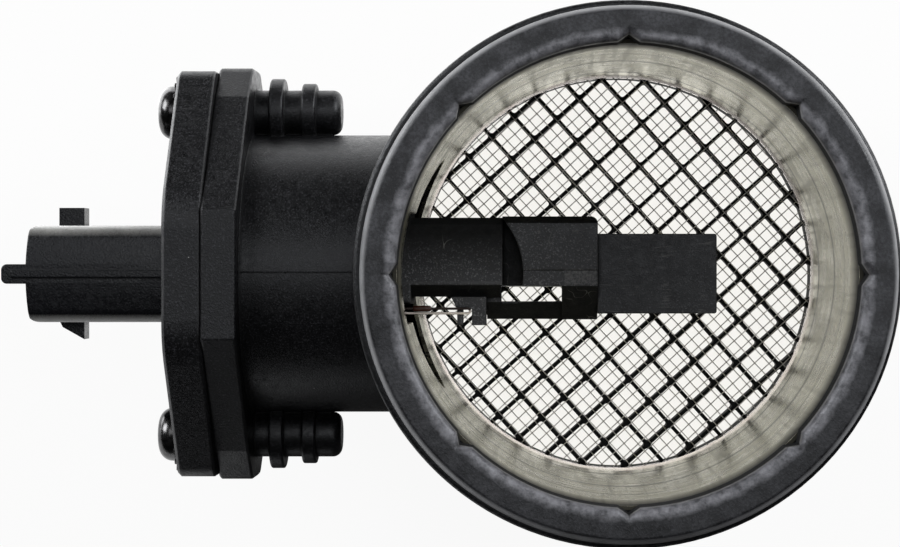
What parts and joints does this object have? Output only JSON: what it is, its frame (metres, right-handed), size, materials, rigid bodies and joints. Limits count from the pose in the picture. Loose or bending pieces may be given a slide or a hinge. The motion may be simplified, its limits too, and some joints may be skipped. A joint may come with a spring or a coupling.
{
  "type": "mass airflow sensor",
  "caption": "Round flow tube with a metal sleeve, inlet lattice and wire screen, and a side neck that holds a flanged plug-in hot film probe with a shrouded connector.",
  "frame": {"origin": "centre of the flow tube's inlet face, on the tube axis", "axes": "+Z along the tube axis in the direction of the air flow; -X along the side neck to the connector; +Y across the neck, towards the upper screw"},
  "size_m": [0.1404, 0.0832, 0.082],
  "materials": {
    "housing_plastic": "dark grey glass-filled moulding, satin",
    "body_plastic": "dark grey moulding, satin",
    "probe_plastic": "black moulding, fine grain",
    "duct_plastic": "black moulding, smooth satin",
    "lattice_plastic": "black moulding",
    "sleeve_metal": "bright drawn, slightly warm",
    "rim_metal": "bright",
    "screen_wire": "drawn stainless wire",
    "seal_rubber": "smooth rubber",
    "sink_aluminium": "plain sheet",
    "board_ceramic": "white ceramic substrate",
    "chip_resin": "moulded epoxy",
    "capacitor_ceramic": "fired ceramic",
    "bead_resin": "dipped resin",
    "lead_wire": "tinned wire",
    "screw_steel": "dark zinc plated",
    "terminal_metal": "tinned brass"
  },
  "bodies": {
    "root": {"housing": "housing_plastic", "flow_sleeve": "sleeve_metal", "flow_straightener": "lattice_plastic", "wire_screen": "screen_wire", "screen_rim": "rim_metal", "retaining_ring": "lattice_plastic", "sensor_body": "body_plastic", "neck_seal": "seal_rubber", "electronics_lid": "body_plastic", "heat_sink": "sink_aluminium", "circuit_board": "board_ceramic", "control_chip": "chip_resin", "driver_chip": "chip_resin", "capacitors": "capacitor_ceramic", "resistors": "chip_resin", "bond_wires": "sink_aluminium", "probe_carrier": "probe_plastic", "probe_face_cover": "probe_plastic", "measuring_duct": "duct_plastic", "duct_cover": "duct_plastic", "sensing_element": "board_ceramic", "thermistor_bead": "bead_resin", "thermistor_supply_lead": "lead_wire", "thermistor_return_lead": "lead_wire", "upper_screw": "screw_steel", "lower_screw": "screw_steel", "upper_lock_washer": "screw_steel", "lower_lock_washer": "screw_steel", "terminal_1": "terminal_metal", "terminal_2": "terminal_metal", "terminal_3": "terminal_metal", "terminal_4": "terminal_metal", "terminal_5": "terminal_metal"}
  },
  "joints": []
}
